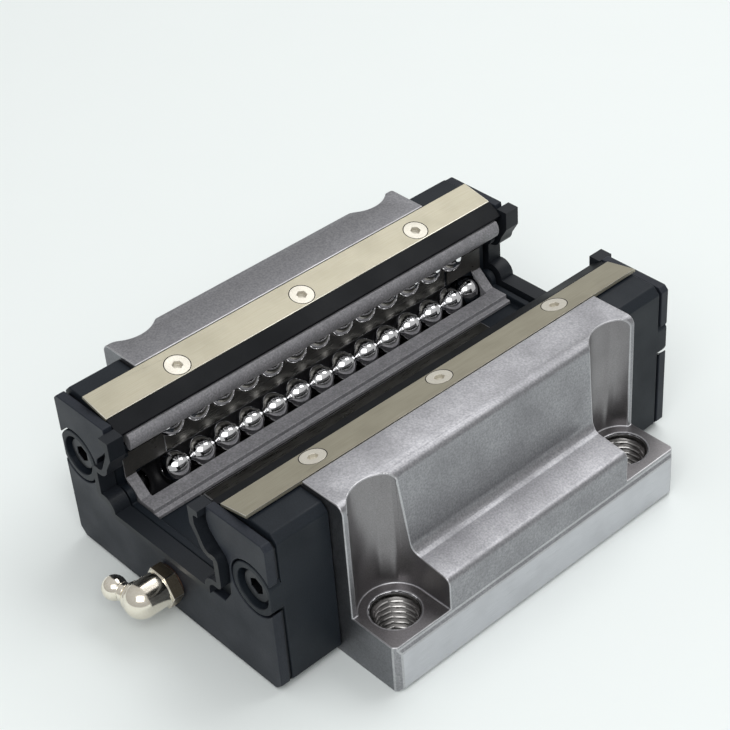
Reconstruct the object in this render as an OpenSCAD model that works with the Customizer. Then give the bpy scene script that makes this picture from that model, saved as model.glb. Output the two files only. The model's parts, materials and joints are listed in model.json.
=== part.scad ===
// Flanged linear guide carriage with four recirculating ball circuits.
// The mounting face lies on Z = 0 and the rail channel opens upwards.
// X runs across the carriage, Y runs along the rail, and the greasing end is at -Y.

/* [Carriage body] */
// Width over the flanges
flange_w = 120; // [116:1:130]
// Length of the steel body
body_len = 98; // [96:1:104]
// Height of the steel legs above the mounting face
leg_h = 48.7; // [48.2:0.1:49.5]
// Height of the flange between the bolt pockets
flange_h = 25; // [23:0.5:27]
// Height of the pocket floors
pocket_floor = 14.5; // [12:0.5:18]
// Distance between bolt holes across the carriage
hole_pitch_x = 100; // [98:1:102]
// Distance between bolt holes along the carriage
hole_pitch_y = 80; // [76:1:82]
// Nominal thread diameter of the bolt holes
thread_d = 12; // [8:1:14]
// Radius of the milled bolt pockets
pocket_r = 9; // [8:0.5:9]

/* [Ball circuits] */
// Diameter of the balls
ball_d = 7.938; // [7.5:0.001:7.95]
// Distance between balls in a straight row
ball_pitch = 8.03; // [8:0.01:8.05]
// Balls in each straight row
row_balls = 13; // [9:2:13]
// Distance of the ball rows from the middle of the channel
row_x = 21.5; // [21.3:0.1:21.7]
// Height of the row beside the channel floor
deep_row_z = 21.8; // [21.6:0.1:22]
// Height of the row near the leg tip
tip_row_z = 36.5; // [36.3:0.1:36.7]
// Radius of the path through a turn
turn_r = 6.5; // [6.4:0.05:6.6]

/* [Ends] */
// Half width of the end caps
cap_half_w = 40.2; // [39.5:0.1:41]
// Distance of the end cap's outer face from the middle
cap_face = 64.3; // [64:0.1:65]
// Distance of the seal plate's outer face from the middle
plate_face = 67.8; // [67:0.1:68.5]
// Distance of the seal lip's outer edge from the middle
lip_face = 69.8; // [69:0.1:70]
// Height of the grease nipple above the mounting face
nipple_z = 10; // [9:0.5:11]
// Angle that the nipple's head turns from the carriage's axis
nipple_turn = 76; // [60:1:90]

/* [Hidden] */
$fn = 48;

half_w = flange_w / 2;
half_len = body_len / 2;
hole_x = hole_pitch_x / 2;
hole_y = hole_pitch_y / 2;
thread_r = thread_d / 2;
ball_r = ball_d / 2;
eps = 0.1;                    // how far a cut runs past a face
fit = 0.05;                   // gap between pieces that sit against each other

// Rail channel
rail_top = 22;                // rail head height that the channel clears
rail_half_w = 22.4;           // half width of the rail's widest land
rail_waist = 15.2;            // half width of the rail's waist
groove_r = 4.05;              // radius of a rail groove
channel_x = 23.6;             // inner wall of the legs
channel_floor = 18.7;
floor_land_x = 9.9;           // half width of the raised floor land
floor_land_z = 20;
raceway_r = 4.08;

// Cover strip and its seat
strip_out = [31, 48.6];       // outer top edge of the strip in X and Z
strip_in = [21.7, 46.65];     // inner top edge
strip_slope = atan2(strip_out[1] - strip_in[1], strip_out[0] - strip_in[0]);
strip_t = 0.9;
strip_end = 65.1;
strip_screw_x = 25.4;
strip_screw_y = 40.6;
strip_head_r = 3.36;
strip_head_h = 1.86;
strip_screw_gap = 0.15;

// Circuits: each has an angle from its load row to its return row, seen along +Y
deep_angle = -35.3;
tip_angle = 9.8;
turn_start = 51.2;            // where the straight rows end
tunnel_r = 4.25;
tube_r = 4.9;                 // outside of a return tube
tube_bore = 4.3;
guide_r = 5.3;
guide_half_h = 4.1;
guide_foot_x = 2;
turn_half_angle = 38;         // a turn's balls sit this far either side of its middle
rear_balls = [-1, 1];
front_balls = [-1];           // each circuit's gap is on the load side of its front turn

// End caps
cap_inner = half_len + fit;
end_wall_y = 62.3;
screw_pos = [33.75, 30];      // end screws in X and Z
screw_head_r = 4.25;
screw_head_top = 66.6;
screw_head_h = 5;
screw_r = 2.5;
screw_depth = 11;
boss_r = 7.2;
boss_gap = 0.5;
boss_mouth_r = 5.4;
plate_t = 2.7;
lip_top = 45.3;
hook_x = 18.9;                // where the lip's hooked top end stops
backing_t = plate_face - plate_t - cap_face;

// Grease nipple
nipple_af = 10;
nipple_flange_t = 3.8;
nipple_barrel_r = 4.7;
nipple_bend_y = -77;
nipple_head_r = 3.25;
nipple_head_at = 8.5;         // bend to the middle of the head
nipple_bore_r = 1.4;
port_r = 3;
port_depth = 6;

function arc(cx, cz, r, a0, a1, steps) =
    [for (i = [0:steps]) let (a = a0 + (a1 - a0) * i / steps) [cx + r * cos(a), cz + r * sin(a)]];
function flipped(points) = [for (i = [len(points) - 1:-1:0]) [-points[i][0], points[i][1]]];
function strip_top(x) = strip_in[1] + (x - strip_in[0]) * tan(strip_slope);
function seat(x) = strip_top(x) - (strip_t + 0.02) / cos(strip_slope);

// Half outline of the rail, grown by a gap, from the channel floor to the given height
function rail_side(gap, top) =
    let (r = groove_r - gap, edge = acos((rail_half_w + gap - row_x) / r))
    concat([[row_x - r, rail_top - gap]],
        arc(row_x, deep_row_z, r, 175, edge, 8),
        arc(row_x, tip_row_z, r, -edge, -175, 8),
        [[rail_waist + gap, tip_row_z + 3.4], [rail_waist + gap, top]]);

// A flat outline in X and Z drawn out along Y
module along_y(low, high) {
    translate([0, high, 0]) rotate([90, 0, 0]) linear_extrude(height = high - low) children();
}

// A cylinder along Y
module rod_y(x, z, r, low, high) {
    along_y(low, high) translate([x, z]) circle(r = r);
}

// An outline that is the same on the left and the right, from its right half
module both_halves(points) {
    polygon(concat(points, flipped(points)));
}

module mirror_if(left, front) {
    mirror([left ? 1 : 0, 0, 0]) mirror([0, front ? 1 : 0, 0]) children();
}

// ---- carriage body ----
corner_r = 2.4;
shelf_edge_r = 2.0;
fillet_r = 3.6;

function body_half() = concat(
    [[half_w - 1, 0], [half_w, 1], [half_w, 12.4], [half_w - 0.7, 13.6]],
    arc(half_w - 0.7 - shelf_edge_r, flange_h - 1.2 - shelf_edge_r, shelf_edge_r, 0, 86, 8),
    arc(46.9 + fillet_r + 0.1, flange_h - 0.4 + fillet_r, fillet_r, 266, 184, 8),
    arc(45.0 - corner_r, leg_h - corner_r, corner_r, 4, 90, 8),
    [[strip_out[0] + 0.3, leg_h], [strip_out[0] + 0.3, seat(strip_out[0] + 0.3)],
     [channel_x, seat(channel_x)], [channel_x, channel_floor], [floor_land_x, channel_floor],
     [floor_land_x, floor_land_z]]);

// The flange corners are chamfered in plan
module body_plan() {
    c = 1.6;
    side = half_w - c;
    end = half_len - c;
    polygon([[-half_w, -end], [-side, -half_len], [side, -half_len], [half_w, -end],
             [half_w, end], [side, half_len], [-side, half_len], [-half_w, end]]);
}

module bolt_pocket() {
    fin_x = 45;
    high = leg_h - pocket_floor + eps;
    translate([hole_x, hole_y, pocket_floor]) cylinder(r = pocket_r, h = high);
    translate([hole_x, hole_y - pocket_r, pocket_floor]) cube([half_w - hole_x + eps, pocket_r + 20, high]);
    translate([fin_x, hole_y + 5, pocket_floor]) cube([half_w - fin_x + eps, 20, high]);
    translate([hole_x, hole_y, -eps]) cylinder(r = thread_r, h = pocket_floor + 2 * eps);
    translate([hole_x, hole_y, pocket_floor - 0.4]) cylinder(r1 = thread_r, r2 = thread_r + 0.5, h = 0.5);
}

module quarter_cuts() {
    bolt_pocket();
    rod_y(screw_pos[0], screw_pos[1], screw_r + fit, half_len - screw_depth - 1.5, half_len + eps);
}

module side_cuts() {
    for (row_z = [deep_row_z, tip_row_z]) {
        rod_y(row_x, row_z, raceway_r, -half_len - eps, half_len + eps);
    }
    for (at = [return_at(deep_row_z, deep_angle), return_at(tip_row_z, tip_angle)]) {
        rod_y(at[0], at[1], tube_r + fit, -half_len - eps, half_len + eps);
    }
    strip_screw_cuts();
}

function return_at(row_z, angle) =
    [row_x + 2 * turn_r * cos(angle), row_z + 2 * turn_r * sin(angle)];

module carriage_body() {
    color([0.55, 0.54, 0.57]) difference() {
        intersection() {
            along_y(-half_len, half_len) both_halves(body_half());
            translate([0, 0, -1]) linear_extrude(height = leg_h + 2) body_plan();
        }
        for (left = [false, true]) {
            mirror_if(left, false) side_cuts();
            for (front = [false, true]) {
                mirror_if(left, front) quarter_cuts();
            }
        }
    }
}

// ---- cover strips and their screws ----
module strip_screw_places() {
    for (y = [-strip_screw_y, 0, strip_screw_y]) {
        translate([strip_screw_x, y, strip_top(strip_screw_x)]) rotate([0, -strip_slope, 0]) children();
    }
}

module countersunk(grow) {
    translate([0, 0, -strip_head_h]) cylinder(r1 = 1.5 + grow, r2 = strip_head_r + grow, h = strip_head_h);
    translate([0, 0, -6 - grow]) cylinder(r = 1.5 + grow, h = 6 + grow - strip_head_h + 0.01);
}

module strip_screw_cuts() {
    strip_screw_places() {
        countersunk(strip_screw_gap);
        cylinder(r = strip_head_r + strip_screw_gap, h = 1);
    }
}

module cover_strip() {
    color([0.72, 0.68, 0.56]) difference() {
        along_y(-strip_end, strip_end) polygon([
            strip_in, strip_out,
            [strip_out[0] + strip_t * sin(strip_slope), strip_out[1] - strip_t * cos(strip_slope)],
            [strip_in[0] + strip_t * sin(strip_slope), strip_in[1] - strip_t * cos(strip_slope)]]);
        strip_screw_cuts();
    }
}

module strip_screws() {
    color([0.8, 0.79, 0.75]) strip_screw_places() difference() {
        countersunk(0);
        translate([0, 0, -1.2]) cylinder(r = 1.4, h = 2, $fn = 6);
    }
}

// ---- retainers ----
module retainer_holder() {
    inner = channel_x - 0.1;
    edge = strip_in[0] - fit;
    color([0.09, 0.09, 0.1]) difference() {
        along_y(-strip_end, strip_end) polygon([
            [17, 44.1], [edge, strip_in[1] - 0.1], [edge, seat(edge) - 0.05], [inner, seat(inner) - 0.05],
            [inner, 41.5], [20.95, 41.5], [20.7, 43.3], [17.25, 43.4]]);
        strip_screw_cuts();
    }
}

module retainer_rod() {
    color([0.56, 0.55, 0.58]) along_y(-63, 63) polygon(concat(
        arc(19.2, 40.7, 3.3, 132, 222, 10),
        arc(row_x, tip_row_z, 4.25, 157, 101, 6),
        [[20.6, 43.1]]));
}

// The frame beside the channel floor: a full-length band, two end bars and a land at each end
module ball_retainer() {
    frame_end = 62;
    bar_start = 58.8;
    retainer_gap = 0.5;
    land_x = rail_half_w + retainer_gap;
    color([0.56, 0.55, 0.58]) {
        difference() {
            along_y(-frame_end, frame_end) polygon([
                [12.6, 19.9], [11.1, 19.9], [11.1, 18.8], [20, 18.8], [20, 21.2], [12.6, 21.2]]);
            rod_y(row_x, deep_row_z, tunnel_r, -bar_start, bar_start);
        }
        for (front = [false, true]) mirror_if(false, front) {
            difference() {
                along_y(bar_start, frame_end) polygon([
                    [18, 20], [18, 21.2], [land_x, 25.6], [land_x, 32.4],
                    [channel_x - 0.1, 32.4], [channel_x - 0.1, 25.4], [20, 20]]);
                turn_space(deep_row_z, deep_angle);
            }
            along_y(half_len + 0.3, frame_end) polygon([
                [land_x, 26.1], [channel_x - 0.1, 26.1], [channel_x - 0.1, 32.4], [land_x, 32.4]]);
        }
    }
}

// ---- ball circuits, built for the right side ----
// Children are placed in a turn's own frame: X towards the return row, Y out of the body, Z along its axis
module at_turn(row_z, angle) {
    translate([row_x, turn_start, row_z]) rotate([0, -angle, 0]) translate([turn_r, 0, 0]) children();
}

module row(x, z) {
    half_row = (row_balls - 1) / 2;
    for (i = [-half_row:half_row]) {
        translate([x, i * ball_pitch, z]) sphere(r = ball_r);
    }
}

module load_row(row_z) {
    color([0.85, 0.85, 0.86]) row(row_x, row_z);
}

module return_row(row_z, angle) {
    at = return_at(row_z, angle);
    color([0.85, 0.85, 0.86]) row(at[0], at[1]);
}

// Side -1 is a turn's return side and side 1 its load side
module turn_balls(row_z, angle, sides) {
    color([0.85, 0.85, 0.86]) at_turn(row_z, angle) {
        for (side = sides) {
            turned = 90 + side * turn_half_angle;
            translate([turn_r * cos(turned), turn_r * sin(turned), 0]) sphere(r = ball_r);
        }
    }
}

module deep_load() { load_row(deep_row_z); }
module deep_return() { return_row(deep_row_z, deep_angle); }
module deep_turn(sides) { turn_balls(deep_row_z, deep_angle, sides); }
module tip_load() { load_row(tip_row_z); }
module tip_return() { return_row(tip_row_z, tip_angle); }
module tip_turn(sides) { turn_balls(tip_row_z, tip_angle, sides); }

module return_tubes() {
    color([0.2, 0.2, 0.21]) {
        for (at = [return_at(deep_row_z, deep_angle), return_at(tip_row_z, tip_angle)]) {
            along_y(-half_len, half_len) translate(at) difference() {
                circle(r = tube_r);
                circle(r = tube_bore);
            }
        }
    }
}

// Space that one turn's balls and guide take out of an end cap
module turn_space(row_z, angle) {
    at_turn(row_z, angle) {
        rotate_extrude(angle = 180) {
            translate([0, -guide_half_h - fit]) square([guide_r + fit, 2 * (guide_half_h + fit)]);
            translate([turn_r, 0]) circle(r = tunnel_r);
        }
        translate([0, 0.01, 0]) along_y(half_len - 1 - turn_start, 0) union() {
            translate([-guide_r - fit, -guide_half_h - fit])
                square([2 * (guide_r + fit), 2 * (guide_half_h + fit)]);
            for (side = [-1, 1]) {
                translate([side * turn_r, 0]) circle(r = tunnel_r);
            }
        }
    }
}

// A half disc with a groove around its edge, on a foot that rests against the body
module return_guide(row_z, angle) {
    at_turn(row_z, angle) {
        rotate_extrude(angle = 180) difference() {
            translate([0, -guide_half_h]) square([guide_r, 2 * guide_half_h]);
            translate([turn_r, 0]) circle(r = tunnel_r + fit);
        }
        foot = turn_start - half_len - 2 * fit;
        translate([-guide_foot_x, -foot, -guide_half_h])
            cube([2 * guide_foot_x, foot + 0.5, 2 * guide_half_h]);
    }
}

module return_guides() {
    color([0.5, 0.5, 0.52]) {
        return_guide(deep_row_z, deep_angle);
        return_guide(tip_row_z, tip_angle);
    }
}

// ---- ends, built for the rear ----
cap_low = 0.8;
cap_top = 47.2;
cap_chamfer = 2;

function cap_outside() = [
    [cap_half_w - cap_chamfer, cap_low], [cap_half_w, cap_low + cap_chamfer],
    [cap_half_w, cap_top - cap_chamfer], [cap_half_w - cap_chamfer, cap_top],
    [29.5, cap_top], [channel_x + 0.1, seat(channel_x + 0.1) - 0.1]];

module end_screw_places() {
    for (side = [-1, 1]) {
        translate([side * screw_pos[0], 0, screw_pos[1]]) children();
    }
}

module end_cap() {
    color([0.12, 0.13, 0.15]) difference() {
        union() {
            along_y(cap_inner, cap_face) both_halves(concat(cap_outside(),
                [[channel_x + 0.1, channel_floor - 0.1], [floor_land_x, channel_floor - 0.1]]));
            along_y(end_wall_y, cap_face) both_halves(concat([[30, 10], [30, 41.3]],
                [for (i = [0:18]) rail_side(1.3, 41.3)[18 - i]]));
            intersection() {
                end_screw_places() rod_y(0, 0, boss_r, cap_face - 1, plate_face);
                translate([-cap_half_w, 0, 0]) cube([2 * cap_half_w, plate_face, cap_top]);
            }
        }
        for (left = [false, true]) mirror_if(left, false) {
            turn_space(deep_row_z, deep_angle);
            turn_space(tip_row_z, tip_angle);
        }
        end_screw_places() {
            rod_y(0, 0, screw_r + 0.25, half_len, plate_face);
            rod_y(0, 0, screw_head_r + 0.35, screw_head_top - screw_head_h, plate_face);
            rod_y(0, 0, boss_mouth_r, plate_face - plate_t, plate_face + eps);
        }
        rod_y(0, nipple_z, port_r, cap_face - port_depth, cap_face + eps);
    }
}

module plate_cuts(hole_r, low, high) {
    end_screw_places() rod_y(0, 0, boss_r + boss_gap, low - eps, high + eps);
    rod_y(0, nipple_z, hole_r, low - eps, high + eps);
}

function plate_outside(inset, top) = [
    [cap_half_w - cap_chamfer - inset, cap_low + inset], [cap_half_w - inset, cap_low + cap_chamfer + inset],
    [cap_half_w - inset, top - 1.2], [cap_half_w - 1.2 - inset, top]];

// The plates stand clear of the strip and its holder, and follow the rail at a distance
module backing_plate() {
    color([0.45, 0.45, 0.46]) difference() {
        along_y(cap_face + fit, cap_face + backing_t - fit) both_halves(concat(plate_outside(0.6, 45.2),
            [[24.2, 45.2], [24.2, 41], [18.6, 41], [21, 36.6], [24.6, 33.4], [24.8, 24], [21.4, 18.9]]));
        plate_cuts(port_r + 0.4, cap_face, plate_face);
    }
}

module seal_plate() {
    color([0.2, 0.21, 0.24]) difference() {
        along_y(cap_face + backing_t + fit, plate_face) both_halves(concat(plate_outside(0, 46.2),
            [[19.6, 46.2], [19.0, 42.1], [19.7, 39.4], [21.6, 37.2], [24.9, 34], [25.5, 31.6], [24.6, 22.2],
             [22, 18.3]]));
        plate_cuts(port_r + 0.4, cap_face + backing_t, plate_face);
    }
}

// Half outline of the lip's outer side, a lip's thickness away from the rail, from its top to the floor
function lip_side(t) =
    let (r = groove_r - t, waist = rail_waist + t, land = rail_half_w,
        edge = acos((rail_half_w - row_x) / groove_r), rise = groove_r * sin(edge))
    concat([[hook_x, lip_top], [hook_x, lip_top - t], [waist + 0.6, lip_top - t], [waist, lip_top - t - 0.6],
            [waist, tip_row_z + 4.2]],
        arc(row_x, tip_row_z, r, -160, -edge, 6),
        arc(land, tip_row_z - rise, t, 180 - edge, 0, 6),
        arc(land, deep_row_z + rise, t, 0, edge - 180, 6),
        arc(row_x, deep_row_z, r, edge, 180, 6),
        [[row_x - r, rail_top - t]]);

// The lip's root is a thin web inside the plate, and its rim stands proud and follows the rail
module seal_lip() {
    web = [[19.34, 44.9], [18.93, 42.1], [19.58, 39.3], [21.48, 37.1], [24.83, 33.95], [25.43, 31.6],
           [24.53, 22.25], [21.93, 18.35]];
    inside = rail_side(0.1, lip_top + 1);
    root_y = plate_face - plate_t + fit;
    color([0.35, 0.35, 0.37]) difference() {
        union() {
            along_y(root_y, root_y + 0.7) both_halves(web);
            along_y(root_y, lip_face) both_halves(lip_side(1.8));
        }
        along_y(root_y - eps, lip_face + eps) both_halves(inside);
    }
}

module cap_screws() {
    color([0.3, 0.3, 0.32]) end_screw_places() difference() {
        union() {
            rod_y(0, 0, screw_head_r, screw_head_top - screw_head_h, screw_head_top);
            rod_y(0, 0, screw_r, half_len - screw_depth, screw_head_top - screw_head_h + 0.01);
        }
        translate([0, screw_head_top + eps, 0]) rotate([90, 30, 0]) cylinder(r = 2.31, h = 2.6, $fn = 6);
    }
}

// ---- grease nipple and port plug ----
module nipple_bend() {
    translate([0, nipple_bend_y, nipple_z]) children();
}

// Children point along the nipple's head, with Z out of its tip
module nipple_head_frame() {
    nipple_bend() rotate([90, 0, -nipple_turn]) children();
}

// The barrel with its domed end, along Z
module nipple_barrel(h) {
    rotate_extrude() {
        square([nipple_barrel_r, h]);
        translate([0, h]) intersection() {
            circle(r = nipple_barrel_r);
            square([nipple_barrel_r, nipple_barrel_r]);
        }
    }
}

// The neck, the collar and the ball that a coupler grips, along Z
module nipple_head(tip) {
    rotate_extrude() intersection() {
        union() {
            translate([0, nipple_head_at]) circle(r = nipple_head_r);
            polygon([[0, 0], [3.7, 0], [3.7, 3.4], [3, 4.4], [2.1, 4.4], [2.1, 4.7], [2.45, 4.7], [2.45, 6],
                [2.15, 6.2], [2.15, 7], [0, 7]]);
        }
        square([nipple_barrel_r, tip]);
    }
}

module nipple_body() {
    tip = nipple_head_at + nipple_head_r - 0.5;
    hex_y = -plate_face - 0.5;
    color([0.78, 0.72, 0.6]) difference() {
        union() {
            translate([0, hex_y, nipple_z]) rotate([90, 0, 0]) {
                cylinder(r = nipple_af / 2 / cos(30), h = nipple_flange_t - 0.5, $fn = 6);
                nipple_barrel(hex_y - nipple_bend_y);
            }
            rod_y(0, nipple_z, port_r - fit, hex_y - 0.5, -cap_face + port_depth - 1);
            nipple_head_frame() nipple_head(tip);
        }
        nipple_head_frame() {
            cylinder(r = nipple_bore_r, h = tip - 1);
            cylinder(r = 0.8, h = tip + eps);
        }
        rod_y(0, nipple_z, nipple_bore_r - 0.2, nipple_bend_y, -cap_face + port_depth);
    }
}

module nipple_check_ball() {
    color([0.8, 0.8, 0.82]) nipple_head_frame()
        translate([0, 0, nipple_head_at + nipple_head_r - 2.78]) sphere(r = 1.25);
}

// Rings of points along a coil that rises along Z
function coil_ring(turned, radius, rise, wire_r, sides) =
    [for (k = [0:sides - 1]) let (a = 360 * k / sides, r = radius + wire_r * cos(a))
        [r * cos(turned), r * sin(turned), rise * turned / 360 + wire_r * sin(a)]];

module coil(radius, rise, turns, wire_r) {
    sides = 8;
    rings = turns * 12;
    points = [for (i = [0:rings]) each coil_ring(i * 30, radius, rise, wire_r, sides)];
    skin = [for (i = [0:rings - 1], k = [0:sides - 1]) let (next = (k + 1) % sides)
        [i * sides + k, i * sides + next, (i + 1) * sides + next, (i + 1) * sides + k]];
    ends = [[for (k = [sides - 1:-1:0]) k], [for (k = [0:sides - 1]) rings * sides + k]];
    polyhedron(points = points, faces = concat(skin, ends));
}

module nipple_spring() {
    color([0.7, 0.7, 0.72]) nipple_head_frame() translate([0, 0, 4]) coil(1, 0.85, 4, 0.2);
}

module nipple_washer() {
    color([0.6, 0.45, 0.3]) difference() {
        rod_y(0, nipple_z, 4.8, -plate_face - 0.45, -plate_face - fit);
        rod_y(0, nipple_z, port_r + 0.1, -plate_face - 1, -plate_face);
    }
}

module rear_port_plug() {
    color([0.25, 0.25, 0.27]) difference() {
        rod_y(0, nipple_z, port_r - fit, cap_face - port_depth + 0.5, cap_face - 0.2);
        translate([0, cap_face, nipple_z]) rotate([90, 0, 0]) cylinder(r = 1.73, h = 3, $fn = 6);
    }
}

carriage_body();
mirror_if(false, true) end_cap();  // front_end_cap
end_cap();  // rear_end_cap
mirror_if(false, true) backing_plate();  // front_backing_plate
backing_plate();  // rear_backing_plate
mirror_if(false, true) seal_plate();  // front_seal_plate
seal_plate();  // rear_seal_plate
mirror_if(false, true) seal_lip();  // front_seal_lip
seal_lip();  // rear_seal_lip
mirror_if(false, true) cap_screws();  // front_cap_screws
cap_screws();  // rear_cap_screws
mirror_if(true, false) cover_strip();  // left_cover_strip
cover_strip();  // right_cover_strip
mirror_if(true, false) strip_screws();  // left_strip_screws
strip_screws();  // right_strip_screws
mirror_if(true, false) retainer_holder();  // left_retainer_holder
retainer_holder();  // right_retainer_holder
mirror_if(true, false) retainer_rod();  // left_retainer_rod
retainer_rod();  // right_retainer_rod
mirror_if(true, false) ball_retainer();  // left_ball_retainer
ball_retainer();  // right_ball_retainer
mirror_if(true, false) return_tubes();  // left_return_tubes
return_tubes();  // right_return_tubes
mirror_if(true, true) return_guides();  // front_left_return_guides
mirror_if(false, true) return_guides();  // front_right_return_guides
mirror_if(true, false) return_guides();  // rear_left_return_guides
return_guides();  // rear_right_return_guides
mirror_if(true, false) deep_load();  // left_deep_load_balls
mirror_if(true, false) deep_return();  // left_deep_return_balls
mirror_if(true, true) deep_turn(front_balls);  // left_deep_front_turn_balls
mirror_if(true, false) deep_turn(rear_balls);  // left_deep_rear_turn_balls
mirror_if(true, false) tip_load();  // left_tip_load_balls
mirror_if(true, false) tip_return();  // left_tip_return_balls
mirror_if(true, true) tip_turn(front_balls);  // left_tip_front_turn_balls
mirror_if(true, false) tip_turn(rear_balls);  // left_tip_rear_turn_balls
deep_load();  // right_deep_load_balls
deep_return();  // right_deep_return_balls
mirror_if(false, true) deep_turn(front_balls);  // right_deep_front_turn_balls
deep_turn(rear_balls);  // right_deep_rear_turn_balls
tip_load();  // right_tip_load_balls
tip_return();  // right_tip_return_balls
mirror_if(false, true) tip_turn(front_balls);  // right_tip_front_turn_balls
tip_turn(rear_balls);  // right_tip_rear_turn_balls
nipple_body();
nipple_check_ball();
nipple_spring();
nipple_washer();
rear_port_plug();
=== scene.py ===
"""Looks of a flanged linear guide carriage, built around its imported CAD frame. Sizes are in metres."""

import json
import math

import bmesh
import bpy
from mathutils import Matrix, Vector


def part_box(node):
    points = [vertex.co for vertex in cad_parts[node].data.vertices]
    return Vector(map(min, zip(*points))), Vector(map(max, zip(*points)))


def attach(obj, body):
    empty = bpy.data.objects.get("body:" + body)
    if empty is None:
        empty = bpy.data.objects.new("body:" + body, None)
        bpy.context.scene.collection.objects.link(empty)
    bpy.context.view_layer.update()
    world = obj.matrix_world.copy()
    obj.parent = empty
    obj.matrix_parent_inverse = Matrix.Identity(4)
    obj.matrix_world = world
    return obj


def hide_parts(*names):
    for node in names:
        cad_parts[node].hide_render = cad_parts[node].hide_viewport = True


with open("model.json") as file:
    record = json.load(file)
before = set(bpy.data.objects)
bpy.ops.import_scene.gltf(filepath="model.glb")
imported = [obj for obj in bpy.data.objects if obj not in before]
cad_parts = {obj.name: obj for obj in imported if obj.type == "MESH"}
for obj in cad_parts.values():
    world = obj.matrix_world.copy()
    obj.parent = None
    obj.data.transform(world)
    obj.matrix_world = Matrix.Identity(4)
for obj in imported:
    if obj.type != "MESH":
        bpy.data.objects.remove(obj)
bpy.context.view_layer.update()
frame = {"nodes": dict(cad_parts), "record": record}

MM = 0.001
BODY_OF = {n: body for body, nodes in frame["record"]["behaviour"]["bodies"].items() for n in nodes}


# ---- materials ----
# A mix node lists its sockets for numbers and vectors before those for colours
MIX_COLOR_A = 6
MIX_COLOR_B = 7
MIX_COLOR_OUT = 2


class Finish:
    """A node material around one Principled shader, with textures placed in object space."""

    def __init__(self, name, color, roughness, metallic=0.0, **fixed):
        self.material = bpy.data.materials.new(name)
        self.material.use_nodes = True
        self.tree = self.material.node_tree
        self.shader = self.tree.nodes["Principled BSDF"]
        self.shader.inputs["Base Color"].default_value = (*color, 1)
        self.shader.inputs["Roughness"].default_value = roughness
        self.shader.inputs["Metallic"].default_value = metallic
        for socket, value in fixed.items():
            self.shader.inputs[socket.replace("_", " ")].default_value = value
        self.place = self.tree.nodes.new("ShaderNodeTexCoord").outputs["Object"]
        self.normal = None

    def link(self, start, end):
        self.tree.links.new(start, end)

    def noise(self, grain, stretch=(1, 1, 1), detail=3.0, offset=0.0):
        """Noise whose grains are that many millimetres, drawn out by the stretch along each axis."""
        mapping = self.tree.nodes.new("ShaderNodeMapping")
        mapping.inputs["Scale"].default_value = [1 / (grain * MM * s) for s in stretch]
        mapping.inputs["Location"].default_value = (offset, offset, offset)
        self.link(self.place, mapping.inputs["Vector"])
        node = self.tree.nodes.new("ShaderNodeTexNoise")
        node.inputs["Scale"].default_value = 1
        node.inputs["Detail"].default_value = detail
        self.link(mapping.outputs["Vector"], node.inputs["Vector"])
        return node.outputs["Fac"]

    def remap(self, value, low, high, start=0.3, stop=0.7):
        node = self.tree.nodes.new("ShaderNodeMapRange")
        node.inputs["From Min"].default_value = start
        node.inputs["From Max"].default_value = stop
        node.inputs["To Min"].default_value = low
        node.inputs["To Max"].default_value = high
        self.link(value, node.inputs["Value"])
        return node.outputs["Result"]

    def mix(self, factor, first, second):
        node = self.tree.nodes.new("ShaderNodeMix")
        node.data_type = "RGBA"
        self.link(factor, node.inputs["Factor"])
        for value, socket in ((first, node.inputs[MIX_COLOR_A]), (second, node.inputs[MIX_COLOR_B])):
            if isinstance(value, tuple):
                socket.default_value = (*value, 1)
            else:
                self.link(value, socket)
        return node.outputs[MIX_COLOR_OUT]

    def color(self, value):
        self.link(value, self.shader.inputs["Base Color"])
        return self

    def roughness(self, value, low, high):
        self.link(self.remap(value, low, high), self.shader.inputs["Roughness"])
        return self

    def bump(self, height, depth):
        """Bump of that many millimetres, laid on any bump before it."""
        node = self.tree.nodes.new("ShaderNodeBump")
        node.inputs["Strength"].default_value = 1.0
        node.inputs["Distance"].default_value = depth * MM
        self.link(height, node.inputs["Height"])
        if self.normal:
            self.link(self.normal, node.inputs["Normal"])
        self.normal = node.outputs["Normal"]
        self.link(self.normal, self.shader.inputs["Normal"])
        return self


def mottled(name, dark, light, grain, roughness, metallic=0.0, spread=0.08, bump=0.01, patch=12, **fixed):
    """A surface with fine grain and slow patches of tone."""
    f = Finish(name, light, roughness, metallic, **fixed)
    fine = f.noise(grain)
    patches = f.noise(patch, detail=2, offset=3)
    tone = f.mix(f.remap(fine, 0, 1), dark, light)
    shade = tuple(0.8 * c for c in dark)
    f.color(f.mix(f.remap(patches, 0, 0.35, 0.45, 0.75), tone, shade))
    f.roughness(patches, roughness - spread, roughness + spread)
    return f.bump(fine, bump)


def brushed(name, dark, light, along, roughness, bump=0.004, grain=0.12, length=60, **fixed):
    """A metal with fine lines along one axis."""
    f = Finish(name, light, roughness, **{"metallic": 1.0, **fixed})
    stretch = [length if axis == along else 1 for axis in "xyz"]
    lines = f.noise(grain, stretch, detail=4)
    patches = f.noise(9, detail=2, offset=5)
    tone = f.mix(f.remap(lines, 0, 1), dark, light)
    shade = tuple(0.82 * c for c in dark)
    f.color(f.mix(f.remap(patches, 0, 0.4, 0.45, 0.75), tone, shade))
    f.roughness(lines, roughness - 0.07, roughness + 0.09)
    return f.bump(lines, bump)


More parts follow.
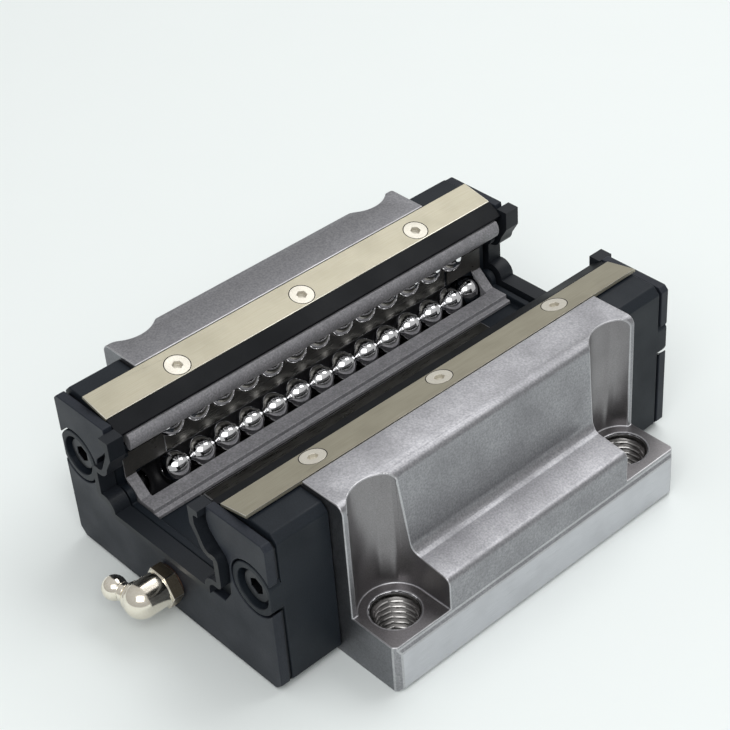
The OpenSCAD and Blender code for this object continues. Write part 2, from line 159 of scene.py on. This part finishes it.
DULL = {"Specular_IOR_Level": 0.22}
FINISH = {
    "blasted": mottled("blasted_steel", (0.25, 0.25, 0.265), (0.38, 0.38, 0.395), 0.5, 0.44, 1.0, bump=0.03),
    "ground": brushed("ground_steel", (0.50, 0.505, 0.53), (0.58, 0.585, 0.61), "y", 0.33),
    "milled": mottled("milled_steel", (0.22, 0.212, 0.217), (0.29, 0.28, 0.286), 0.3, 0.36, 1.0,
                      spread=0.03, bump=0.002),
    "end_face": mottled("end_face_steel", (0.17, 0.173, 0.185), (0.24, 0.244, 0.26), 0.4, 0.42, 1.0,
                        bump=0.004),
    # Lighter steel for the rounded edges: a painted highlight along them
    "edge": mottled("edge_steel_painted_highlight", (0.42, 0.42, 0.435), (0.55, 0.55, 0.565), 0.4, 0.38, 1.0, bump=0.005),
    # Darker steel for the faces inside the channel: painted shade of the recess
    "race": brushed("race_steel_painted_shade", (0.10, 0.098, 0.09), (0.125, 0.122, 0.112), "y", 0.3,
                    bump=0.0005, grain=0.4, length=20),
    # Thread roots and flanks: darker steel as painted shade; crests: lighter steel as painted highlight
    "thread": mottled("thread_steel_painted_shade", (0.10, 0.097, 0.095), (0.16, 0.155, 0.15), 0.3, 0.3, 1.0, bump=0.003),
    "thread_crest_painted_highlight": mottled("thread_crest_painted_highlight", (0.4, 0.39, 0.38), (0.5, 0.49, 0.48), 0.3, 0.3, 1.0, bump=0.003),
    "cap_plastic": mottled("cap_plastic", (0.0075, 0.0105, 0.0145), (0.012, 0.0165, 0.023), 0.35, 0.5,
                           bump=0.012, **DULL),
    "seal_plastic": mottled("seal_plastic", (0.0135, 0.0165, 0.023), (0.021, 0.025, 0.034), 0.4, 0.45,
                            bump=0.012, **DULL),
    "lip_rubber": mottled("lip_rubber", (0.009, 0.011, 0.014), (0.016, 0.019, 0.024), 0.3, 0.42,
                          bump=0.008, **DULL),
    # Backing plate steel darkened as painted shade in the gap between seal plate and cap
    "backing_steel": brushed("backing_steel", (0.03, 0.032, 0.036), (0.05, 0.053, 0.058), "x", 0.4),
    "end_screw_steel": mottled("end_screw_steel", (0.03, 0.032, 0.036), (0.055, 0.058, 0.065), 0.2, 0.36,
                               1.0),
    "strip_metal": brushed("strip_metal", (0.35, 0.325, 0.245), (0.44, 0.415, 0.33), "y", 0.42, metallic=0.8),
    # Lighter strip metal for the strips' rounded long edges: a painted highlight
    "strip_edge_painted_highlight": brushed("strip_edge_painted_highlight", (0.55, 0.53, 0.46), (0.68, 0.66, 0.59), "y", 0.32),
    "strip_screw_steel": mottled("strip_screw_steel", (0.58, 0.55, 0.47), (0.72, 0.69, 0.61), 0.25, 0.36,
                                 0.45),
    # Near black for the countersink walls: painted shade behind the screw heads
    "strip_gap_painted_shade": mottled("strip_gap_painted_shade", (0.01, 0.01, 0.01), (0.02, 0.019, 0.018), 0.3, 0.6),
    "retainer_plastic": mottled("retainer_plastic", (0.15, 0.15, 0.16), (0.29, 0.285, 0.30), 0.5, 0.38,
                                bump=0.02, patch=3),
    # The retainer's land: the same plastic darkened as painted shade deeper in the channel
    "land_plastic_painted_shade": mottled("land_plastic_painted_shade", (0.028, 0.027, 0.025), (0.05, 0.047, 0.042), 0.5, 0.35, patch=3),
    "holder_plastic": mottled("holder_plastic", (0.0022, 0.003, 0.0042), (0.004, 0.005, 0.007), 0.4, 0.45,
                              Specular_IOR_Level=0.12),
    "tube_plastic": mottled("tube_plastic", (0.02, 0.02, 0.022), (0.03, 0.03, 0.033), 0.4, 0.45),
    "guide_plastic": mottled("guide_plastic", (0.008, 0.008, 0.009), (0.014, 0.014, 0.016), 0.4, 0.5, **DULL),
    "ball_steel": mottled("ball_steel", (0.78, 0.78, 0.79), (0.88, 0.88, 0.89), 0.6, 0.045, 1.0,
                          spread=0.015, bump=0.0004),
    "nipple_metal": mottled("nipple_metal", (0.84, 0.78, 0.66), (0.93, 0.88, 0.78), 0.4, 0.14, 1.0,
                            spread=0.04, bump=0.003),
    "nipple_hex": mottled("nipple_hex", (0.30, 0.25, 0.18), (0.42, 0.36, 0.27), 0.3, 0.34, 1.0,
                          spread=0.05, bump=0.006),
    "spring_steel": mottled("spring_steel", (0.5, 0.5, 0.52), (0.65, 0.65, 0.67), 0.2, 0.25, 1.0),
    "washer_copper": mottled("washer_copper", (0.20, 0.12, 0.08), (0.30, 0.19, 0.13), 0.3, 0.4, 1.0),
    "plug_steel": mottled("plug_steel", (0.10, 0.10, 0.11), (0.16, 0.16, 0.17), 0.2, 0.35, 1.0),
}
FINISH_MATERIAL = {name: f.material for name, f in FINISH.items()}


# ---- pieces ----
def welded(node):
    """A bmesh copy of a CAD node's mesh, with its split points joined and its flat faces made whole."""
    shape = bmesh.new()
    shape.from_mesh(frame["nodes"][node].data)
    bmesh.ops.remove_doubles(shape, verts=shape.verts, dist=2e-6)
    bmesh.ops.dissolve_limit(shape, angle_limit=math.radians(0.4), verts=shape.verts, edges=shape.edges)
    return shape


def new_piece(name, shape, materials, body, nodes=()):
    """Turns a bmesh into an object that rides on a body and stands for CAD nodes."""
    mesh = bpy.data.meshes.new(name)
    shape.to_mesh(mesh)
    shape.free()
    for key in materials:
        mesh.materials.append(FINISH_MATERIAL[key])
    mesh.shade_smooth()
    piece = bpy.data.objects.new(name, mesh)
    bpy.context.scene.collection.objects.link(piece)
    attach(piece, body)
    if nodes:
        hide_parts(*nodes)
    return piece


SHARP = math.radians(28)


def mark_long_edges(shape, length):
    """Marks the sharp edges that are longer than that many millimetres to be rounded."""
    weight = shape.edges.layers.float.new("bevel_weight_edge")
    for edge in shape.edges:
        if edge.calc_length() > length * MM and edge.is_manifold and edge.calc_face_angle() > SHARP:
            edge[weight] = 1


def round_edges(piece, width, material=-1, long_only=False):
    """Small rounded edges, whose faces may take their own material."""
    bevel = piece.modifiers.new("rounded_edges", "BEVEL")
    bevel.width = width * MM
    bevel.segments = 2
    bevel.limit_method = "WEIGHT" if long_only else "ANGLE"
    bevel.angle_limit = SHARP
    bevel.use_clamp_overlap = False
    bevel.harden_normals = True
    bevel.material = material


def dress(node, materials, width, choose=None, edge=None, long_only=0):
    """Replaces a node by its own shape with rounded edges. choose(centre, normal) names a face's material.
    With long_only, just the edges that are longer than that many millimetres are rounded."""
    shape = welded(node)
    if long_only:
        mark_long_edges(shape, long_only)
    if choose:
        shape.normal_update()
        for face in shape.faces:
            face.material_index = materials.index(choose(face.calc_center_median(), face.normal))
    piece = new_piece(node + "_shape", shape, materials, BODY_OF[node], [node])
    piece.data.set_sharp_from_angle(angle=SHARP)
    if width:
        round_edges(piece, width, materials.index(edge) if edge else -1, bool(long_only))
    return piece


# Carriage body: each face takes the finish of the way it was made, save that the faces inside the channel
# take a darker steel as painted shade and the rounded edges a lighter steel as painted highlight
body_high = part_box("carriage_body")[1]
HOLE_X = 50 * MM
HOLE_Y = 40 * MM
POCKET_R = 9 * MM
POCKET_FLOOR = 14.5 * MM
GROUND_TOP = 13 * MM
CHANNEL_X = 24 * MM
LEG_SEAT = 46.5 * MM
NEAR = 0.2 * MM


def body_face(centre, normal):
    x, y, z = abs(centre.x), abs(centre.y), centre.z
    if z < NEAR or (x > body_high.x - NEAR and z < GROUND_TOP):
        return "ground"
    if abs(normal.y) > 0.9 and y > body_high.y - NEAR:
        return "end_face"
    # Faces inside the channel: the darker race steel is painted shade
    if x < CHANNEL_X and z < LEG_SEAT:
        return "race"
    from_hole = math.hypot(x - HOLE_X, y - HOLE_Y)
    if from_hole < POCKET_R + NEAR and z > POCKET_FLOOR - NEAR:
        return "milled"
    beside_hole = z > POCKET_FLOOR - NEAR and y > HOLE_Y - POCKET_R - NEAR
    if beside_hole and abs(normal.z) < 0.5 and abs(normal.y) > 0.5:
        return "milled"
    return "blasted"


# The rounded edges take the lighter edge steel, a painted highlight
dress("carriage_body", ["blasted", "ground", "milled", "end_face", "race", "edge"], 0.3, body_face, "edge")


def thread(name, x, y):
    """An M12 thread form inside a plain bore, as one closed sleeve."""
    outer = 6.15 * MM
    root = 6.0 * MM
    crest = 5.1 * MM
    pitch = 1.75 * MM
    low = 0.15 * MM
    high = POCKET_FLOOR - 0.45 * MM
    around = 64
    per_pitch = 10
    root_share = 0.12
    flank_share = 0.76
    rows = int((high - low) / pitch * per_pitch)
    shape = bmesh.new()
    rings = []
    for i in range(rows + 1):
        z = low + (high - low) * i / rows
        ring = []
        for k in range(around):
            turn = k / around
            phase = (z / pitch - turn) % 1.0
            ridge = 1 - abs(2 * phase - 1)
            flat = min(max((ridge - root_share) / flank_share, 0), 1)
            fade = min(1, (z - low) / pitch, (high - z) / pitch)
            r = root - (root - crest) * flat * fade
            a = 2 * math.pi * turn
            ring.append(shape.verts.new((x + r * math.cos(a), y + r * math.sin(a), z)))
        rings.append(ring)
    for z in (high, low):
        rings.append([shape.verts.new((x + outer * math.cos(2 * math.pi * k / around),
                                       y + outer * math.sin(2 * math.pi * k / around), z))
                      for k in range(around)])
    for i, ring in enumerate(rings):
        after = rings[(i + 1) % len(rings)]
        for k in range(around):
            n = (k + 1) % around
            shape.faces.new((ring[n], ring[k], after[k], after[n]))
    bmesh.ops.recalc_face_normals(shape, faces=shape.faces)
    # Faces near the crest take the light steel as painted highlight, the rest the dark steel as painted shade
    for face in shape.faces:
        place = face.calc_center_median()
        face.material_index = int(math.hypot(place.x - x, place.y - y) < crest + NEAR)
    piece = new_piece(name, shape, ["thread", "thread_crest_painted_highlight"], "carriage")
    piece.data.set_sharp_from_angle(angle=math.radians(40))


for i, (side_x, side_y) in enumerate([(1, -1), (1, 1), (-1, -1), (-1, 1)]):
    thread(f"bolt_thread_{i + 1}", side_x * HOLE_X, side_y * HOLE_Y)

# Ends
for end in ("front", "rear"):
    dress(f"{end}_end_cap", ["cap_plastic"], 0.35)
    # The backing plates' near-black steel is painted shade between seal plate and cap
    dress(f"{end}_backing_plate", ["backing_steel"], 0.08)
    dress(f"{end}_seal_plate", ["seal_plastic"], 0.3)
    dress(f"{end}_seal_lip", ["lip_rubber"], 0)
    dress(f"{end}_cap_screws", ["end_screw_steel"], 0.2)


LAND_X = 22.2 * MM


def strip_face(centre, normal):
    """The countersinks' walls are painted near black as shade behind the screw heads."""
    return "strip_metal" if abs(normal.y) > 0.99 or abs(normal.y) < 0.01 else "strip_gap_painted_shade"


def retainer_face(centre, normal):
    """The land beside the balls lies deeper than the frame around the window and is painted darker as shade.
    """
    return "land_plastic_painted_shade" if abs(centre.x) > LAND_X else "retainer_plastic"


# Strips and retainers
for side in ("left", "right"):
    # Countersink walls painted near black as shade, long edges painted lighter as highlight
    dress(f"{side}_cover_strip", ["strip_metal", "strip_gap_painted_shade", "strip_edge_painted_highlight"], 0.18, strip_face,
          "strip_edge_painted_highlight", 9)
    dress(f"{side}_strip_screws", ["strip_screw_steel"], 0.15)
    dress(f"{side}_retainer_holder", ["holder_plastic"], 0.2)
    dress(f"{side}_retainer_rod", ["retainer_plastic"], 0.2)
    # The land takes the darker plastic as painted shade
    dress(f"{side}_ball_retainer", ["retainer_plastic", "land_plastic_painted_shade"], 0.2, retainer_face)
    dress(f"{side}_return_tubes", ["tube_plastic"], 0)
    for end in ("front", "rear"):
        dress(f"{end}_{side}_return_guides", ["guide_plastic"], 0)


# Balls: smooth spheres where the CAD's balls are
def ball_places(node):
    """Centre and radius of each ball in a node."""
    shape = welded(node)
    left = set(shape.verts)
    places = []
    while left:
        group = [left.pop()]
        for vert in group:
            for edge in vert.link_edges:
                other = edge.other_vert(vert)
                if other in left:
                    left.remove(other)
                    group.append(other)
        low = Vector([min(v.co[i] for v in group) for i in range(3)])
        high = Vector([max(v.co[i] for v in group) for i in range(3)])
        places.append(((low + high) / 2, max(high - low) / 2))
    shape.free()
    return sorted(places, key=lambda p: tuple(round(c, 5) for c in p[0]))


def ball_group(node):
    shape = bmesh.new()
    for centre, radius in ball_places(node):
        bmesh.ops.create_uvsphere(shape, u_segments=40, v_segments=24, radius=radius,
                                  matrix=Matrix.Translation(centre))
    new_piece(node + "_shape", shape, ["ball_steel"], BODY_OF[node], [node])


for node in sorted(frame["nodes"]):
    if node.endswith("_balls") or node.endswith("_ball"):
        ball_group(node)


# Nipple and port plug
HEX_LOW = -72 * MM
HEX_HIGH = -68 * MM
HEX_INSIDE_R = 4.75 * MM
NIPPLE_Z = 10 * MM


def nipple_face(centre, normal):
    """The hexagon's flats lie outside the round barrel."""
    from_axis = math.hypot(centre.x, centre.z - NIPPLE_Z)
    on_hex = HEX_LOW < centre.y < HEX_HIGH and from_axis > HEX_INSIDE_R
    return "nipple_hex" if on_hex and abs(normal.y) < 0.5 else "nipple_metal"


dress("nipple_body", ["nipple_metal", "nipple_hex"], 0.2, nipple_face, "nipple_metal")
dress("nipple_spring", ["spring_steel"], 0)
dress("nipple_washer", ["washer_copper"], 0.05)
dress("rear_port_plug", ["plug_steel"], 0.1)

# ---- stage ----
floor_shape = bmesh.new()
bmesh.ops.create_grid(floor_shape, x_segments=1, y_segments=1, size=4)
floor_mesh = bpy.data.meshes.new("floor")
floor_shape.to_mesh(floor_mesh)
floor_shape.free()
floor = bpy.data.objects.new("floor", floor_mesh)
floor.location = (0, 0, -0.0001)
floor_finish = Finish("floor_paper", (0.83, 0.875, 0.865), 0.9)
floor_finish.color(floor_finish.mix(floor_finish.noise(30), (0.825, 0.87, 0.86), (0.835, 0.88, 0.87)))
floor_mesh.materials.append(floor_finish.material)
bpy.context.scene.collection.objects.link(floor)

world = bpy.data.worlds.new("studio")
bpy.context.scene.world = world
world.use_nodes = True
sky = world.node_tree
sky_place = sky.nodes.new("ShaderNodeTexCoord")
sky_axes = sky.nodes.new("ShaderNodeSeparateXYZ")
sky_tone = sky.nodes.new("ShaderNodeMapRange")
sky_tone.inputs["From Min"].default_value = 0.0
sky_tone.inputs["From Max"].default_value = 0.9
sky_tone.inputs["To Min"].default_value = 0.45
sky_tone.inputs["To Max"].default_value = 0.6
sky.links.new(sky_place.outputs["Generated"], sky_axes.inputs["Vector"])
sky.links.new(sky_axes.outputs["Z"], sky_tone.inputs["Value"])
sky.links.new(sky_tone.outputs["Result"], sky.nodes["Background"].inputs["Color"])
sky.nodes["Background"].inputs["Strength"].default_value = 1.0


LIGHT_TARGET = Vector((0, 0, 0.02))


def softbox(name, place, width, depth, watts):
    data = bpy.data.lights.new(name, "AREA")
    data.shape = "RECTANGLE"
    data.size = width
    data.size_y = depth
    data.energy = watts
    light = bpy.data.objects.new(name, data)
    light.location = place
    light.rotation_euler = (LIGHT_TARGET - Vector(place)).to_track_quat("-Z", "Y").to_euler()
    bpy.context.scene.collection.objects.link(light)


softbox("front_softbox", (0.50, -0.50, 0.80), width=0.8, depth=0.6, watts=4.2)
softbox("back_softbox", (-0.05, 0.55, 0.87), width=1.0, depth=0.55, watts=4.2)


# ---- camera ----
def camera(azimuth, elevation, roll, place, lens, shift):
    a, e = azimuth, elevation
    back = Vector((math.sin(a) * math.cos(e), -math.cos(a) * math.cos(e), math.sin(e)))
    right = Vector((math.cos(a), math.sin(a), 0))
    up = back.cross(right)
    side = right * math.cos(roll) + up * math.sin(roll)
    top = up * math.cos(roll) - right * math.sin(roll)
    data = bpy.data.cameras.new("camera")
    data.lens = lens
    data.shift_x, data.shift_y = shift
    data.clip_start = 0.01
    data.clip_end = 30
    cam = bpy.data.objects.new("camera", data)
    cam.matrix_world = Matrix.Translation(place) @ Matrix((side, top, back)).transposed().to_4x4()
    bpy.context.scene.collection.objects.link(cam)
    bpy.context.scene.camera = cam


camera(azimuth=0.848, elevation=0.656, roll=-0.061, place=(0.2819, -0.23535, 0.31756), lens=90.01,
       shift=(-0.0623, 0.0084))
bpy.context.scene.view_settings.view_transform = "Standard"
